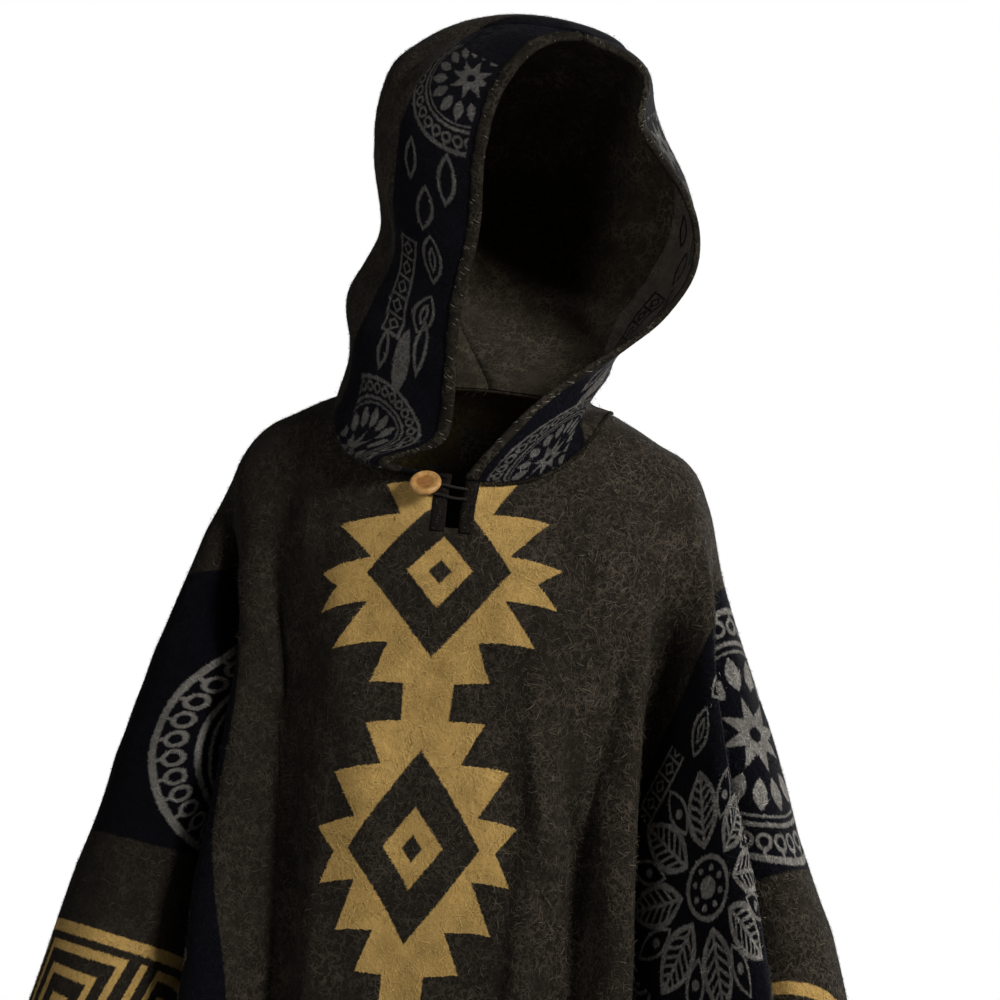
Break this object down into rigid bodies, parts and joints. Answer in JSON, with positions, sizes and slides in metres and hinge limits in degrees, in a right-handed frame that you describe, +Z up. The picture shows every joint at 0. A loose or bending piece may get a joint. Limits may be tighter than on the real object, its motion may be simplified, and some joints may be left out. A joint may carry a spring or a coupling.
{
  "type": "andean poncho",
  "caption": "Hooded blanket poncho with stepped gold motifs, hanging hollow as worn, with a turned hood, a neck slit, a wooden button and a cord loop.",
  "frame": {"origin": "between the wearer's shoulders, at the mount wearer_shoulders, where the wearer holds the poncho up", "axes": "+Z up, -Y ahead of the wearer, +X to the wearer's left"},
  "size_m": [0.6504, 0.5108, 1.3387],
  "materials": {
    "blanket": "brushed wool, long nap",
    "hood_cloth": "brushed wool, long nap",
    "edging": "overlocked edge",
    "button_wood": "satin",
    "dark_cord": "matt braided cord"
  },
  "bodies": {
    "root": {"front": "blanket", "back": "blanket", "hood_right": "hood_cloth", "hood_left": "hood_cloth", "hood_binding_right": "edging", "hood_binding_left": "edging", "placket_right": "edging", "placket_left": "edging", "button": "button_wood", "button_loop": "dark_cord"}
  },
  "joints": []
}
